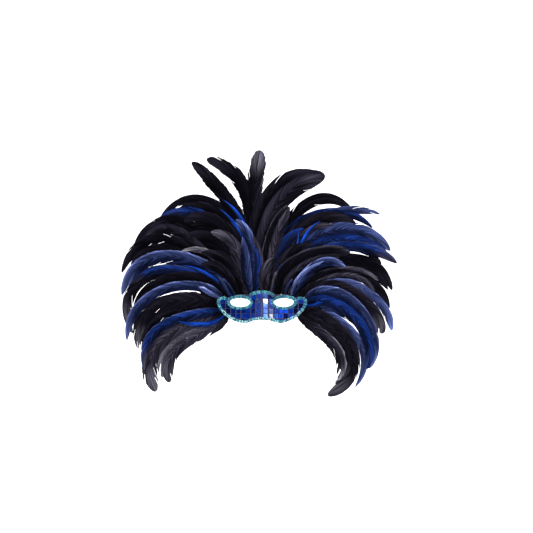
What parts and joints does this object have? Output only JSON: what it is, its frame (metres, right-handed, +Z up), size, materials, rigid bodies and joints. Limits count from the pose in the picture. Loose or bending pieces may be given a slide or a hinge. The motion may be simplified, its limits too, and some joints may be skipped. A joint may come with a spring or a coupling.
{
  "type": "feather carnival mask",
  "caption": "Rigid half mask with a mosaic of shiny tiles, a beaded trim round its edge and eye holes, and a wide fan of long curving coque plumes round the brow and temples.",
  "frame": {"origin": "inside the nose bridge, on the middle plane and level with the eyes", "axes": "+X to the right seen from the front, +Y back towards the wearer, +Z up"},
  "size_m": [0.4509, 0.1331, 0.397],
  "materials": {
    "shell_felt": "stiffened fabric, matt",
    "mosaic_foil": "mirror-bright foil tiles",
    "trim_beads": "glossy seed beads",
    "plume_blue_pillar": "royal blue, silky sheen",
    "plume_left_front": "royal blue, silky sheen",
    "plume_left_low_front": "royal blue, silky sheen",
    "plume_right_curl": "royal blue, silky sheen",
    "plume_right_low": "charcoal grey, soft sheen",
    "plume_left_inner": "taupe grey, matt",
    "plume_right_inner": "charcoal grey, soft sheen",
    "plume_right_wing": "royal blue, silky sheen",
    "plume_left_wing": "charcoal grey, soft sheen",
    "plume_left_low_back": "taupe grey, matt",
    "plume_crown_inner": "taupe grey, matt",
    "plume_left_mid": "royal blue, silky sheen",
    "plume_right_mid": "black with a bluish sheen",
    "plume_right_wing_back": "pale periwinkle blue, silky",
    "plume_crown_front": "charcoal grey, soft sheen",
    "plume_left_upper": "black with a bluish sheen",
    "plume_right_upper": "royal blue, silky sheen",
    "plume_right_back": "black with a bluish sheen",
    "plume_crown_back": "black with a bluish sheen",
    "plume_left_outer": "black with a bluish sheen",
    "plume_right_outer": "black with a bluish sheen",
    "plume_left_top": "black with a bluish sheen",
    "plume_right_top": "black with a bluish sheen"
  },
  "bodies": {
    "root": {"mask_shell": "shell_felt", "mosaic": "mosaic_foil", "rim_trim": "trim_beads", "brow_trim": "trim_beads", "eye_trim_left": "trim_beads", "eye_trim_right": "trim_beads", "plume_blue_pillar": "plume_blue_pillar", "plume_left_front": "plume_left_front", "plume_left_low_front": "plume_left_low_front", "plume_right_curl": "plume_right_curl", "plume_right_low": "plume_right_low", "plume_left_inner": "plume_left_inner", "plume_right_inner": "plume_right_inner", "plume_right_wing": "plume_right_wing", "plume_left_wing": "plume_left_wing", "plume_left_low_back": "plume_left_low_back", "plume_crown_inner": "plume_crown_inner", "plume_left_mid": "plume_left_mid", "plume_right_mid": "plume_right_mid", "plume_right_wing_back": "plume_right_wing_back", "plume_crown_front": "plume_crown_front", "plume_left_upper": "plume_left_upper", "plume_right_upper": "plume_right_upper", "plume_right_back": "plume_right_back", "plume_crown_back": "plume_crown_back", "plume_left_outer": "plume_left_outer", "plume_right_outer": "plume_right_outer", "plume_left_top": "plume_left_top", "plume_right_top": "plume_right_top"}
  },
  "joints": []
}
